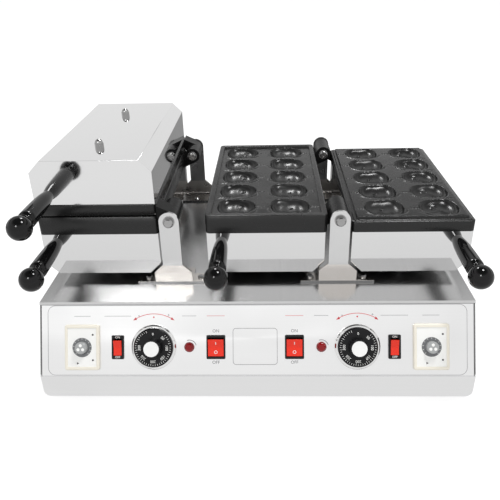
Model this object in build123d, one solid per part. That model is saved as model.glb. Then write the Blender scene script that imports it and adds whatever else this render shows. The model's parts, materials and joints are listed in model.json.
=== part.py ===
from build123d import *
import os
from math import sqrt, cos, sin, radians

os.makedirs("parts", exist_ok=True)

# Twin-head rotating mini cake maker. Millimetres, +Z up, +Y to the back, X along the front.
# The origin is on the floor, under the middle of the machine's box.

# Base housing, a folded sheet box with a sloped control panel
base_width = 580.0
rear_margin = 28.0
base_height = 123.0
panel_drop = 89.0
panel_reach = 47.5
sheet = 1.5
side_bend = 9.0
lip_drop = 3.5
panel_joint = 0.9
side_flange = 60.0
skirt_flange = 14.0
foot_height = 10.0
foot_radius = 13.0
foot_inset_x = 40.0
foot_inset_y = 36.0
gland_reach = 14.0
gland_radius = 9.0
gland_hex = 6.0
gland_thread = 7.0
gland_bore = 4.5
gland_tail = 12.0
gland_x = 0.0
gland_z = 45.0
slot_count = 7
slot_length = 60.0
slot_height = 4.0
slot_pitch = 10.0
slot_low = 46.0
slot_x = 180.0
terminal_width = 80.0
terminal_depth = 25.0
terminal_height = 22.0
terminal_inset = 45.0

# Hinge line of the two heads
head_offset = 0.1969 * base_width
pivot_height = 94.5
bracket_face = 47.0
bracket_span = 335.0
bracket_sheet = 4.0
bracket_half = 13.5
bracket_flare_half = 26.0
flare_top = 29.0
flare_bottom = 17.0
bracket_foot_reach = 40.0
lug_shoulder = 2.0
nut_height = 5.0
screw_radius = 2.5
screw_gap = 0.2
screw_head_radius = 4.6
screw_head_height = 3.2
screw_head_bevel = 1.4
screw_length = 12.0
foot_sheet = 3.0
ear_half = 51.0
ear_depth = 23.0
ear_screw_x = 37.0
ear_screw_y = 11.0
foot_screw_y = 33.0
barrel_radius = 12.5
barrel_length = 53.0
bolt_radius = 5.0
bolt_head_radius = 6.5
bolt_head_height = 5.0
bolt_head_bevel = 1.3
washer_radius = 8.0
washer_height = 1.6
running_gap = 0.06
side_gap = 0.3

# Mould plates, seen from the hinge line: the rim plate and the raised plate that fits into it
plate_inner = 16.0
plate_width = 165.0
plate_front = 55.5
plate_length = 312.0
plate_back = 21.4
rim_level = 4.7
rim_width = 7.5
recess_depth = 3.1
mating_gap = 0.2
plateau_gap = 0.8
corner_radius = 6.0

# Cavities for the cakes
cavity_rows = 5
row_pitch = 59.0
cavity_length = 57.0
cavity_depth = 10.0
cavity_axis_rise = 24.0
outer_cavity_start = 12.0
inner_cavity_start = 86.0
stalk_root = 5.0
stalk_tip = 8.0
stalk_radius = 2.8
cavity_lip = -0.25
pear_bowl = ((0.05, 0.5), (0.19, 0.9), (0.36, 1), (0.57, 0.86), (0.77, 0.52), (0.91, 0.12))
bean_bowl = ((0.04, 0.6), (0.16, 0.94), (0.35, 1), (0.55, 0.9), (0.75, 0.72), (0.93, 0.3))
pear_profile = ((0, cavity_lip), *pear_bowl, (1, cavity_lip))
bean_profile = ((0, cavity_lip), *bean_bowl, (1, cavity_lip))

# Casings behind the plates
casing_inner = 18.0
casing_width = 162.0
casing_front = 57.5
casing_length = 308.5
casing_height = 61.6
casing_chamfer = 16.0
casing_sheet = 1.2
cap_nut_height = 11.0
cap_nut_flats = 11.0
stud_radius = 3.0
boss_radius = 8.0
boss_height = 12.0
cap_nut_rows = (62.0, 230.0)
heater_radius = 4.0
heater_bend = 12.0
heater_gap = 0.2
heater_inset = 34.0
heater_half = 48.0

# Handles
handle_x = 160.0
handle_drop = 35.0
handle_reach = 100.5
ball_radius = 15.2
grip_root_radius = 7.6
grip_end_radius = 11.4
grip_swell = 2.2
grip_stud_radius = 4.0
grip_stud_length = 60.0
grip_nut_flats = 13.0
grip_bead = 1.6
grip_bead_half = 2.2

# Controls, placed along the panel by their share of its width and their distance below its top edge
control_row = 61.5
timer_x = 0.4 * base_width
timer_width = 47.0
timer_height = 61.0
timer_frame_rise = 4.0
timer_face_width = 39.0
timer_face_height = 52.0
timer_dial_radius = 8.0
timer_dial_rise = 7.0
timer_body_depth = 62.0
timer_shaft_radius = 2.1
frame_corner = 3.0
frame_bevel = 1.2
thermostat_x = 0.2336 * base_width
bezel_radius = 30.0
bezel_rise = 3.0
dial_radius = 26.3
dial_rise = 4.0
dial_hub_radius = 12.5
dial_hub_rise = 19.0
hub_cap_radius = 10.0
hub_cap_rise = 1.2
thermostat_case = 46.0
thermostat_case_depth = 34.0
power_x = 0.0902 * base_width
power_width = 25.2
power_height = 32.0
power_rocker_width = 20.8
power_rocker_height = 23.0
timer_switch_x = 0.3176 * base_width
timer_switch_width = 16.4
timer_switch_height = 32.0
timer_rocker_width = 10.6
timer_rocker_height = 20.6
switch_rise = 2.0
switch_flange = 0.8
switch_depth = 18.0
switch_corner = 1.5
switch_bevel = 0.6
pocket_floor = 2.0
rocker_gap = 0.4
rocker_tilt = 9.0
rocker_crown = 1.9
rocker_valley = 0.4
rocker_taper = 2.0
rocker_depth = 5.0
rocker_pin_z = -1.0
rocker_pin_radius = 1.0
rocker_pin_length = 0.6
shaft_radius = 3.0
knob_gap = 0.5
flute_count = 8
flute_radius = 3.0
lamp_x = 0.1516 * base_width
lamp_radius = 6.7
lamp_rise = 6.0
lamp_body_radius = 5.0
lamp_flange = 1.5
lamp_lens_radius = 5.9
lamp_body_depth = 22.0
switch_sizes = (
    (power_x, power_width, power_height),
    (timer_switch_x, timer_switch_width, timer_switch_height),
)

# Places worked out from the sizes above
tray_depth = bracket_face + bracket_span + rear_margin
bracket_rear_face = bracket_face + bracket_span - bracket_sheet
base_low = foot_height
tray_top = base_low + base_height
pivot_z = tray_top + pivot_height
crease_z = tray_top - panel_drop
half_width = base_width / 2
front_most = casing_front - handle_reach - ball_radius
rear_most = tray_depth + gland_reach
y_shift = -(front_most + rear_most) / 2
recess_floor = rim_level - recess_depth
border_level = -rim_level - mating_gap
plateau_level = border_level + recess_depth
casing_low = -plate_back - casing_height
plate_outer = plate_inner + plate_width
plate_rear = plate_front + plate_length
plate_middle = (plate_front + plate_rear) / 2
casing_outer = casing_inner + casing_width
casing_rear = casing_front + casing_length
casing_middle = (casing_inner + casing_outer) / 2
knuckle = (barrel_length - side_gap) / 2
front_barrel = bracket_face + bracket_sheet + side_gap
rear_barrel = bracket_rear_face - side_gap - barrel_length

# Panel frame: local x along the front, local y up the slope, local z out of the panel
slope_length = sqrt(panel_drop**2 + panel_reach**2)
slope_cos = panel_drop / slope_length
slope_sin = panel_reach / slope_length
panel_frame = Plane(origin=(0, 0, tray_top), x_dir=(1, 0, 0), z_dir=(0, -slope_cos, slope_sin))


def save(name, *shapes):
    """Write one node, moved to the machine's own origin."""
    solids = [s for shape in shapes for s in shape.solids()]
    moved = [s.moved(Location((0, y_shift, 0))) for s in solids]
    result = moved[0] if len(moved) == 1 else Compound(children=moved)
    result.label = name
    export_step(result, f"parts/{name}.step")


def block(x0, x1, y0, y1, z0, z1):
    """Box between two corners, in any order."""
    size = abs(x1 - x0), abs(y1 - y0), abs(z1 - z0)
    return Pos((x0 + x1) / 2, (y0 + y1) / 2, (z0 + z1) / 2) * Box(*size)


def upright_rod(x, y, z0, z1, radius):
    """Cylinder along Z from z0 to z1."""
    return Pos(x, y, (z0 + z1) / 2) * Cylinder(radius, abs(z1 - z0))


def cross_rod(x, z, y0, y1, radius):
    """Cylinder along Y from y0 to y1."""
    return Pos(x, (y0 + y1) / 2, z) * Rot(90, 0, 0) * Cylinder(radius, abs(y1 - y0))


def xz_prism(points, y0, y1):
    """Outline in X and Z, carried along Y from y0 to y1."""
    face = Face(Wire.make_polygon([(x, y0, z) for x, z in points]))
    return extrude(face, y1 - y0, dir=(0, 1, 0))


def yz_prism(points, x0, x1):
    """Outline in Y and Z, carried along X from x0 to x1."""
    face = Face(Wire.make_polygon([(x0, y, z) for y, z in points]))
    return extrude(face, x1 - x0, dir=(1, 0, 0))


def rounded_slab(x0, x1, y0, y1, z0, z1, radius):
    """Slab with upright edges rounded."""
    outline = Pos((x0 + x1) / 2, (y0 + y1) / 2) * RectangleRounded(abs(x1 - x0), y1 - y0, radius)
    return Pos(0, 0, z0) * extrude(outline, z1 - z0)


def low_corners(shape, x, radius):
    """Round the lower edges along Y that lie at x and at -x."""
    edges = shape.edges().filter_by(Axis.Y)
    low = [e for e in edges if abs(abs(e.center().X) - x) < 0.01 and abs(e.center().Z - base_low) < 0.01]
    return fillet(low, radius)


# Base housing
def slope_point(along, out=0.0):
    """Y and Z of a point on the panel, by its distance from the top edge and off the face."""
    return (-slope_sin * along - slope_cos * out, tray_top - slope_cos * along + slope_sin * out)


def make_top_tray():
    """Flat tray whose front edge folds down over the panel."""
    lip_start = (slope_sin * sheet) / slope_cos
    under = sheet / slope_cos
    section = [
        (tray_depth, tray_top),
        slope_point(lip_start, sheet),
        slope_point(lip_start + lip_drop, sheet),
        slope_point(lip_start + lip_drop),
        slope_point(under),
        (tray_depth, tray_top - sheet),
    ]
    tray = yz_prism(section, -half_width, half_width)
    for x, y in bracket_screw_places():
        tray -= upright_rod(x, y, tray_top - 2 * sheet, tray_top + sheet, screw_radius + screw_gap)
    return tray


def make_control_panel():
    """Sloped front with its cut-outs, folded down into an upright skirt and back under it."""
    top = slope_point(sheet / slope_cos)
    inner_top = slope_point(sheet * (1 - slope_sin) / slope_cos, -sheet)
    inner_run = (sheet * slope_cos + panel_reach - sheet) / slope_sin
    inner_crease = slope_point(inner_run, -sheet)
    crease = (-panel_reach, crease_z)
    inner_foot = (-panel_reach + sheet, base_low)
    sloped = [top, crease, inner_crease, inner_top]
    upright = [crease, (-panel_reach, base_low), inner_foot, inner_crease]
    panel_half = half_width - sheet - panel_joint
    skirt = low_corners(yz_prism(upright, -half_width, half_width), half_width, side_bend)
    panel = yz_prism(sloped, -panel_half, panel_half) + skirt
    flange_half = half_width - side_flange - sheet
    flange_back = -panel_reach + skirt_flange
    panel += block(-flange_half, flange_half, -panel_reach, flange_back, base_low, base_low + sheet)
    cut = 4 * sheet
    for side in (-1, 1):
        timer_hole = panel_box(timer_face_width + 1, timer_face_height + 1, -cut, cut)
        panel -= on_panel(side * timer_x, timer_hole)
        panel -= on_panel(side * thermostat_x, panel_disc(shaft_radius * 2, -cut, cut))
        panel -= on_panel(side * lamp_x, panel_disc(lamp_body_radius, -cut, cut))
        for x, width, height in switch_sizes:
            hole = panel_box(width - 2 * switch_flange, height - 2 * switch_flange, -cut, cut)
            panel -= on_panel(side * x, hole)
    return panel


def make_side_panel(side):
    """Side sheet whose foot bends under the housing with a round corner."""
    section = [
        slope_point(sheet / slope_cos),
        (-panel_reach, crease_z),
        (-panel_reach + sheet, crease_z),
        (-panel_reach + sheet, base_low),
        (tray_depth - sheet, base_low),
        (tray_depth - sheet, tray_top - sheet),
    ]
    outer = low_corners(yz_prism(section, half_width - side_flange, half_width), half_width, side_bend)
    room = block(0, half_width - sheet, -base_width, base_width, base_low + sheet, 2 * tray_top)
    edge = [e for e in room.edges().filter_by(Axis.Y) if e.center().X > 0.01]
    room = fillet([min(edge, key=lambda e: e.center().Z)], side_bend - sheet)
    panel = outer - room
    return panel if side > 0 else mirror(panel, Plane.YZ)


def make_rear_panel():
    """Back sheet with cooling slots and the hole for the lead's gland."""
    sheet_back = block(-half_width, half_width, tray_depth - sheet, tray_depth, base_low, tray_top - sheet)
    panel = low_corners(sheet_back, half_width, side_bend)
    for side in (-1, 1):
        for i in range(slot_count):
            z = slot_low + i * slot_pitch
            panel -= Pos(side * slot_x, tray_depth, z) * Box(slot_length, 4 * sheet, slot_height)
    return panel - cross_rod(gland_x, gland_z, tray_depth - 3 * sheet, tray_depth + sheet, gland_thread)


def make_cable_gland():
    """Screwed gland with a domed nut, bored for the lead that is left off."""
    hexagon = Rot(90, 0, 0) * extrude(RegularPolygon(gland_radius, 6, major_radius=False), gland_hex)
    body = Pos(gland_x, tray_depth + gland_hex, gland_z) * hexagon
    dome = Rot(-90, 0, 0) * Cone(gland_radius - 0.5, gland_bore + 2, gland_reach - gland_hex)
    body += Pos(gland_x, tray_depth + (gland_hex + gland_reach) / 2, gland_z) * dome
    body += cross_rod(gland_x, gland_z, tray_depth - gland_tail, tray_depth, gland_thread)
    bore = cross_rod(gland_x, gland_z, tray_depth - 2 * gland_tail, tray_depth + 2 * gland_reach, gland_bore)
    return body - bore


def make_feet():
    """Four rubber feet under the side flanges."""
    places = [(x, y) for x in (-1, 1) for y in (foot_inset_y - panel_reach, tray_depth - foot_inset_y)]
    foot = Cone(foot_radius - 2, foot_radius, foot_height)
    return [Pos(s * (half_width - foot_inset_x), y, foot_height / 2) * foot for s, y in places]


# Hinge brackets
def bracket_ends():
    """Each bracket's X, the Y of its outer face and the way it faces the moulds."""
    ends = ((bracket_face, 1), (bracket_face + bracket_span, -1))
    return [(side * head_offset, y, way) for side in (-1, 1) for y, way in ends]


def bracket_screw_places():
    """Centres of the three screws in each bracket's foot."""
    places = []
    for x, y, way in bracket_ends():
        places += [(x + s * ear_screw_x, y + way * ear_screw_y) for s in (-1, 1)]
        places.append((x, y + way * foot_screw_y))
    return places


def make_bracket(x, y, way):
    """Upright bar with a round head and a flared base, welded to a flat foot with two ears."""
    base = tray_top + foot_sheet
    half = [
        (bracket_half, pivot_z),
        (bracket_half, tray_top + flare_top),
        (bracket_flare_half, tray_top + flare_bottom),
        (bracket_flare_half, base),
    ]
    outline = half + [(-a, b) for a, b in reversed(half)]
    upright = xz_prism(outline, 0, bracket_sheet) + cross_rod(0, pivot_z, 0, bracket_sheet, bracket_half)
    foot = block(-bracket_flare_half, bracket_flare_half, 0, bracket_foot_reach, tray_top, base)
    foot += block(-ear_half, ear_half, 0, ear_depth, tray_top, base)
    bracket = upright + foot
    bend = [e for e in bracket.edges().filter_by(Axis.X) if abs(e.center().Z - base) < 0.01]
    inside = [e for e in bend if abs(e.center().Y - bracket_sheet) < 0.01]
    bracket = fillet(inside, foot_sheet)
    bracket -= cross_rod(0, pivot_z, -1, bracket_sheet + 1, bolt_radius + running_gap)
    for dx, dy in ((-ear_screw_x, ear_screw_y), (ear_screw_x, ear_screw_y), (0, foot_screw_y)):
        bracket -= upright_rod(dx, dy, tray_top - 1, base + 1, screw_radius + screw_gap)
    turned = bracket if way > 0 else Rot(0, 0, 180) * bracket
    return Pos(x, y, 0) * turned


def make_screw(x, y):
    """Button-head screw through a bracket's foot and the tray."""
    seat = tray_top + foot_sheet
    head = upright_rod(x, y, seat, seat + screw_head_height, screw_head_radius)
    head = chamfer(head.edges().sort_by(Axis.Z)[-1], screw_head_bevel)
    return head + upright_rod(x, y, seat - screw_length, seat, screw_radius)


def make_pivot_bolts():
    """One bolt through each bracket and its two knuckles, with a washer and a nut."""
    pieces = []
    for x in (-head_offset, head_offset):
        front_tip = front_barrel + barrel_length + side_gap
        pieces += bolt_set(x, bracket_face, front_tip)
        pieces += bolt_set(x, rear_barrel - side_gap, bracket_face + bracket_span)
    return pieces


def bolt_set(x, seat, tip):
    """Washer at the seat, headed bolt through to the tip and a nut behind it."""
    ring = cross_rod(x, pivot_z, seat - washer_height, seat, washer_radius)
    ring -= cross_rod(x, pivot_z, seat - 2 * washer_height, seat + 1, bolt_radius)
    head_back = seat - washer_height
    head = cross_rod(x, pivot_z, head_back - bolt_head_height, head_back, bolt_head_radius)
    head = chamfer(head.edges().filter_by(GeomType.CIRCLE).sort_by(Axis.Y)[0], bolt_head_bevel)
    bolt = head + cross_rod(x, pivot_z, head_back, tip + nut_height + 1, bolt_radius)
    hexagon = Rot(90, 0, 0) * extrude(RegularPolygon(washer_radius, 6, major_radius=False), nut_height)
    nut = Pos(x, tip + nut_height, pivot_z) * hexagon
    nut -= cross_rod(x, pivot_z, tip - 1, tip + 2 * nut_height, bolt_radius)
    return [ring, bolt, nut]


# Mould halves, drawn about the hinge line: side -1 is the rim half, side +1 the lid half
def cavity_cutter(profile):
    """Shallow bowl turned about a line above the plate, which its ends cross cleanly, with a stalk."""
    points = [(cavity_length * u, cavity_axis_rise + cavity_depth * d) for u, d in profile]
    closing = Polyline(points[-1], (cavity_length, 0), (0, 0), points[0])
    bowl = revolve(make_face([Spline(*points), closing]), Axis.X)
    reach = cavity_axis_rise + cavity_depth
    low = Pos(cavity_length / 2, 0, -reach) * Box(2 * cavity_length, 3 * reach, 2 * (cavity_depth + 1))
    groove = Rot(0, 90, 0) * Cylinder(stalk_radius, stalk_root + stalk_tip)
    stalk = Pos(cavity_length + (stalk_tip - stalk_root) / 2, 0, -cavity_axis_rise) * groove
    return Pos(0, 0, cavity_axis_rise) * ((bowl & low) + stalk)


def cavity_cutters(surface, side):
    """Two columns of bowls in a plate's surface, stalks towards the hinge."""
    cutters = []
    for start, profile in ((outer_cavity_start, pear_profile), (inner_cavity_start, bean_profile)):
        bowl = Rot(0, 0, 180 if side > 0 else 0) * cavity_cutter(profile)
        for row in range(cavity_rows):
            y = plate_middle + (row - (cavity_rows - 1) / 2) * row_pitch
            cutters.append(Pos(side * (plate_outer - start), y, surface) * bowl)
    return cutters


def make_plate(side):
    """Cast mould plate: a raised rim on one half, a raised table on the other."""
    top = rim_level if side < 0 else border_level
    x0, x1 = sorted((side * plate_inner, side * plate_outer))
    plate = rounded_slab(x0, x1, plate_front, plate_rear, -plate_back, top, corner_radius)
    inset = rim_width if side < 0 else rim_width + plateau_gap
    inner = x0 + inset, x1 - inset, plate_front + inset, plate_rear - inset
    if side < 0:
        plate -= rounded_slab(*inner, recess_floor, top + 1, corner_radius)
        plate -= cavity_cutters(recess_floor, side)
    else:
        plate += rounded_slab(*inner, top, plateau_level, corner_radius)
        plate -= cavity_cutters(plateau_level, side)
    for dy in cap_nut_rows:
        y = plate_front + dy
        plate += upright_rod(side * casing_middle, y, -plate_back - boss_height, -plate_back, boss_radius)
        plate -= upright_rod(side * casing_middle, y, -plate_back - boss_height - 1, -plate_back, stud_radius)
    return plate


def make_lugs(side):
    """Two hinge lugs: a knuckle on the hinge line and a web to the plate's edge."""
    if side < 0:
        starts = (front_barrel + knuckle + side_gap, rear_barrel)
        web_top = -lug_shoulder
    else:
        starts = (front_barrel, rear_barrel + knuckle + side_gap)
        web_top = -3 * lug_shoulder
    upper = barrel_radius * cos(radians(30)), barrel_radius * sin(radians(30))
    lower = barrel_radius * cos(radians(115)), -barrel_radius * sin(radians(115))
    outline = [(plate_inner, -plate_back), (plate_inner, web_top), upper, (0, 0), lower]
    lugs = []
    for y in starts:
        web = xz_prism([(side * x, z) for x, z in outline], y, y + knuckle)
        lug = web + cross_rod(0, 0, y, y + knuckle, barrel_radius)
        lugs.append(lug - cross_rod(0, 0, y - 1, y + knuckle + 1, bolt_radius + running_gap))
    return lugs


def casing_outline(inset, top):
    """Casing section with both outer corners cut at 45 degrees, drawn in by an inset."""
    mitre = inset * (sqrt(2) - 1)
    return [
        (casing_inner + inset, top),
        (casing_inner + inset, casing_low + casing_chamfer + mitre),
        (casing_inner + casing_chamfer + mitre, casing_low + inset),
        (casing_outer - casing_chamfer - mitre, casing_low + inset),
        (casing_outer - inset, casing_low + casing_chamfer + mitre),
        (casing_outer - inset, top),
    ]


def make_casing(side):
    """Folded sheet cover behind the plate, open towards it."""
    shell = [(side * x, z) for x, z in casing_outline(0, -plate_back)]
    outer = xz_prism(shell, casing_front, casing_rear)
    hollow = [(side * x, z) for x, z in casing_outline(casing_sheet, -plate_back + 1)]
    casing = outer - xz_prism(hollow, casing_front + casing_sheet, casing_rear - casing_sheet)
    for dy in cap_nut_rows:
        hole_top = casing_low + 2 * casing_sheet
        casing -= upright_rod(side * casing_middle, plate_front + dy, casing_low - 1, hole_top, stud_radius)
    stud_end = casing_front + 2 * casing_sheet
    return casing - cross_rod(side * handle_x, -handle_drop, casing_front - 1, stud_end, grip_stud_radius)


def make_fasteners(side):
    """Two studs with domed nuts on the outer face, and the handle's stud and nut."""
    pieces = []
    for dy in cap_nut_rows:
        x, y = side * casing_middle, plate_front + dy
        stud_low = casing_low - cap_nut_height / 2
        pieces.append(upright_rod(x, y, stud_low, -plate_back, stud_radius))
        hexagon = extrude(RegularPolygon(cap_nut_flats / 2, 6, major_radius=False), -cap_nut_height * 0.5)
        nut = Pos(x, y, casing_low) * hexagon
        dome_radius = cap_nut_height * 0.5
        nut += Pos(x, y, casing_low - cap_nut_height + dome_radius) * Sphere(dome_radius)
        pieces.append(nut - upright_rod(x, y, stud_low, casing_low + 1, stud_radius))
    tail = casing_front + casing_sheet + nut_height
    x, z = side * handle_x, -handle_drop
    pieces.append(cross_rod(x, z, casing_front - grip_stud_length, tail + 2, grip_stud_radius))
    flats = RegularPolygon(grip_nut_flats / 2, 6, major_radius=False)
    hexagon = Rot(90, 0, 0) * extrude(flats, nut_height)
    nut = Pos(x, tail, z) * hexagon
    pieces.append(nut - cross_rod(x, z, casing_front, tail + 1, grip_stud_radius))
    return pieces


def make_handle(side):
    """Turned grip: a swelling shank, a beaded neck and a ball."""
    neck = grip_end_radius * 0.75
    shank_end = handle_reach - ball_radius * 1.5
    neck_end = handle_reach - sqrt(ball_radius**2 - neck**2)
    bead_mid = (shank_end + grip_end_radius * 0.25 + neck_end) / 2
    swell = Spline(
        (grip_root_radius, 0),
        (grip_root_radius + grip_swell, -handle_reach * 0.2),
        (grip_end_radius, -shank_end),
        tangents=((1, -1), (0, -1)),
    )
    shoulder = Line((grip_end_radius, -shank_end), (neck, -shank_end - grip_end_radius * 0.25))
    bead_ends = (neck, -bead_mid + grip_bead_half), (neck, -bead_mid - grip_bead_half)
    groove = Line((neck, -shank_end - grip_end_radius * 0.25), bead_ends[0])
    bead = ThreePointArc(bead_ends[0], (neck + grip_bead, -bead_mid), bead_ends[1])
    collar = Line(bead_ends[1], (neck, -neck_end))
    ball = ThreePointArc((neck, -neck_end), (ball_radius, -handle_reach), (0, -handle_reach - ball_radius))
    spine = Polyline((0, -handle_reach - ball_radius), (0, 0), (grip_root_radius, 0))
    grip = revolve(make_face([swell, shoulder, groove, bead, collar, ball, spine]), Axis.Y)
    grip = Pos(side * handle_x, casing_front, -handle_drop) * grip
    hole_start = casing_front - grip_stud_length
    return grip - cross_rod(side * handle_x, -handle_drop, hole_start, casing_front + 1, grip_stud_radius)


def make_heater(side):
    """Tubular heating element bent into a loop under the plate, open to the back."""
    z = -plate_back - heater_radius - heater_gap
    near, far = plate_front + heater_inset, plate_rear - heater_inset
    left, right = side * (casing_middle - heater_half), side * (casing_middle + heater_half)
    corners = (left, far, z), (left, near, z), (right, near, z), (right, far, z)
    path = FilletPolyline(*corners, radius=heater_bend)
    section = Plane(origin=(left, far, z), z_dir=(0, -1, 0)) * Circle(heater_radius)
    return sweep(section, path)


def place_half(shape, side, head, turned):
    """Set a half on its head's hinge line, turned over when it is closed on top of the other."""
    turn = Rot(0, 180, 0) if turned else Rot(0, 0, 0)
    return Pos(head * head_offset, 0, pivot_z) * turn * shape


# Controls
def on_panel(x, shape):
    """Put a shape, drawn about its own middle, on the control row of the panel."""
    return panel_frame.location * Pos(x, -control_row, 0) * shape


def panel_box(width, height, low, high):
    """Box about the panel's normal from low to high."""
    return Pos(0, 0, (low + high) / 2) * Box(width, height, high - low)


def panel_disc(radius, low, high):
    """Disc about the panel's normal from low to high."""
    return Pos(0, 0, (low + high) / 2) * Cylinder(radius, high - low)


def make_bezel():
    """Bright ring round the thermostat dial."""
    ring = panel_disc(bezel_radius, 0, bezel_rise)
    ring = chamfer(ring.edges().sort_by(Axis.Z)[-1], bezel_rise * 0.6)
    return ring - panel_disc(dial_hub_radius, -1, bezel_rise + 1)


def make_thermostat_body():
    """Thermostat behind the panel with its spindle through it."""
    body = panel_box(thermostat_case, thermostat_case, -sheet - thermostat_case_depth, -sheet)
    return body + panel_disc(shaft_radius, -sheet, dial_hub_rise * 0.7)


def make_temp_knob():
    """Dial skirt with a fluted grip."""
    low = bezel_rise + knob_gap
    skirt = panel_disc(dial_radius, low, low + dial_rise)
    skirt = chamfer(skirt.edges().sort_by(Axis.Z)[-1], dial_rise * 0.4)
    grip = panel_disc(dial_hub_radius, low, dial_hub_rise)
    flute = panel_disc(flute_radius, low + dial_rise, dial_hub_rise + 1)
    flute_place = dial_hub_radius + flute_radius * 0.6
    for i in range(flute_count):
        grip -= Rot(0, 0, i * 360 / flute_count) * Pos(flute_place, 0, 0) * flute
    knob = skirt + grip
    return knob - panel_disc(shaft_radius + running_gap, 0, dial_hub_rise * 0.7 + 0.5)


def make_timer_frame():
    """Square bezel of a plug-in timer."""
    frame = extrude(RectangleRounded(timer_width, timer_height, frame_corner), timer_frame_rise)
    frame = chamfer(frame.faces().sort_by(Axis.Z)[-1].edges(), frame_bevel)
    return frame - panel_box(timer_face_width, timer_face_height, -1, timer_frame_rise + 1)


def make_timer_body():
    """Timer case through the panel, with its face just inside the bezel and its spindle."""
    case = panel_box(timer_face_width, timer_face_height, -timer_body_depth, timer_frame_rise - 1)
    return case + panel_disc(timer_shaft_radius, 0, timer_frame_rise + timer_dial_rise * 0.6)


def make_timer_knob():
    """Small round setting knob."""
    low = timer_frame_rise - 1 + knob_gap
    knob = panel_disc(timer_dial_radius, low, low + timer_dial_rise)
    knob = chamfer(knob.edges().sort_by(Axis.Z)[-1], frame_bevel)
    hole_end = timer_frame_rise + timer_dial_rise * 0.6 + side_gap
    return knob - panel_disc(timer_shaft_radius + running_gap, 0, hole_end)


def rocker_reach(rocker_height):
    """Greatest distance of a rocker's corner from its pin."""
    return sqrt((rocker_height / 2) ** 2 + (switch_rise + rocker_crown - rocker_pin_z) ** 2)


def make_switch_frame(width, height, rocker_width, rocker_height):
    """Rocker switch case with a raised flange and an open pocket."""
    flange = extrude(RectangleRounded(width, height, switch_corner), switch_rise)
    flange = chamfer(flange.faces().sort_by(Axis.Z)[-1].edges(), switch_bevel)
    case = panel_box(width - 2 * switch_flange, height - 2 * switch_flange, -switch_depth, 0)
    pocket_height = 2 * (rocker_reach(rocker_height) + rocker_gap)
    pocket_width = rocker_width + 2 * rocker_gap
    pocket = panel_box(pocket_width, pocket_height, -switch_depth + pocket_floor, switch_rise + 1)
    pin = rocker_pin_radius + running_gap
    pin_hole = Rot(0, 90, 0) * Cylinder(pin, pocket_width + 2 * rocker_pin_length)
    return flange + case - pocket - Pos(0, 0, rocker_pin_z) * pin_hole


def make_rocker(width, height):
    """Rocker with two faces that meet in a shallow valley, on a pin, pressed at its lower end."""
    crown = switch_rise + rocker_crown
    section = [
        (-height / 2, crown),
        (0, switch_rise + rocker_valley),
        (height / 2, crown),
        (height / 2 - rocker_taper, -rocker_depth),
        (rocker_taper - height / 2, -rocker_depth),
    ]
    body = yz_prism(section, -width / 2, width / 2)
    pin_end = rocker_gap + rocker_pin_length - rocker_gap / 2
    pin = Rot(0, 90, 0) * Cylinder(rocker_pin_radius, width + 2 * pin_end)
    body += Pos(0, 0, rocker_pin_z) * pin
    return Pos(0, 0, rocker_pin_z) * Rot(rocker_tilt, 0, 0) * Pos(0, 0, -rocker_pin_z) * body


def make_lamp():
    """Pilot lamp: domed lens on a flange, with its body behind the panel."""
    flange = panel_disc(lamp_radius, 0, lamp_flange)
    room = panel_disc(lamp_radius, lamp_flange / 2, lamp_rise)
    dome = Pos(0, 0, lamp_flange) * Sphere(lamp_lens_radius) & room
    return flange + dome + panel_disc(lamp_body_radius, -lamp_body_depth, 0)


# Write every node
save("top_tray", make_top_tray())
save("control_panel", make_control_panel())
save("left_side_panel", make_side_panel(-1))
save("right_side_panel", make_side_panel(1))
save("rear_panel", make_rear_panel())
floor_half = half_width - side_bend
floor_low = base_low + sheet
terminal_low = floor_low + sheet
floor_plate = block(-floor_half, floor_half, sheet - panel_reach, tray_depth - sheet, floor_low, terminal_low)
save("bottom_plate", floor_plate)
save("feet", *make_feet())
save("cable_gland", make_cable_gland())
bracket_names = ("left_front", "left_rear", "right_front", "right_rear")
for name, place in zip(bracket_names, bracket_ends()):
    save(f"{name}_bracket", make_bracket(*place))
save("bracket_screws", *[make_screw(x, y) for x, y in bracket_screw_places()])
save("pivot_bolts", *make_pivot_bolts())
terminal_place = Pos(0, tray_depth - terminal_inset, terminal_low + terminal_height / 2)
save("terminal_block", terminal_place * Box(terminal_width, terminal_depth, terminal_height))

for side, half_name in ((-1, "rim"), (1, "lid")):
    pieces = {
        "plate": [make_plate(side)],
        "lugs": make_lugs(side),
        "casing": [make_casing(side)],
        "handle": [make_handle(side)],
        "heater": [make_heater(side)],
        "fasteners": make_fasteners(side),
    }
    for head, head_name in ((-1, "left"), (1, "right")):
        turned = head < 0 and side > 0
        for piece, shapes in pieces.items():
            placed = [place_half(shape, side, head, turned) for shape in shapes]
            save(f"{head_name}_{half_name}_{piece}", *placed)

for head, head_name in ((-1, "left"), (1, "right")):
    save(f"{head_name}_thermostat_bezel", on_panel(head * thermostat_x, make_bezel()))
    save(f"{head_name}_timer_frame", on_panel(head * timer_x, make_timer_frame()))
    save(f"{head_name}_temp_knob", on_panel(head * thermostat_x, make_temp_knob()))
    cap = panel_disc(hub_cap_radius, dial_hub_rise, dial_hub_rise + hub_cap_rise)
    save(f"{head_name}_temp_cap", on_panel(head * thermostat_x, cap))
    save(f"{head_name}_timer_knob", on_panel(head * timer_x, make_timer_knob()))
    for name, sizes, rocker in (
        ("power", switch_sizes[0], (power_rocker_width, power_rocker_height)),
        ("timer_switch", switch_sizes[1], (timer_rocker_width, timer_rocker_height)),
    ):
        x, width, height = sizes
        save(f"{head_name}_{name}_frame", on_panel(head * x, make_switch_frame(width, height, *rocker)))
        save(f"{head_name}_{name}_rocker", on_panel(head * x, make_rocker(*rocker)))
save("thermostat_bodies", *[on_panel(s * thermostat_x, make_thermostat_body()) for s in (-1, 1)])
save("timer_bodies", *[on_panel(s * timer_x, make_timer_body()) for s in (-1, 1)])
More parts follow.
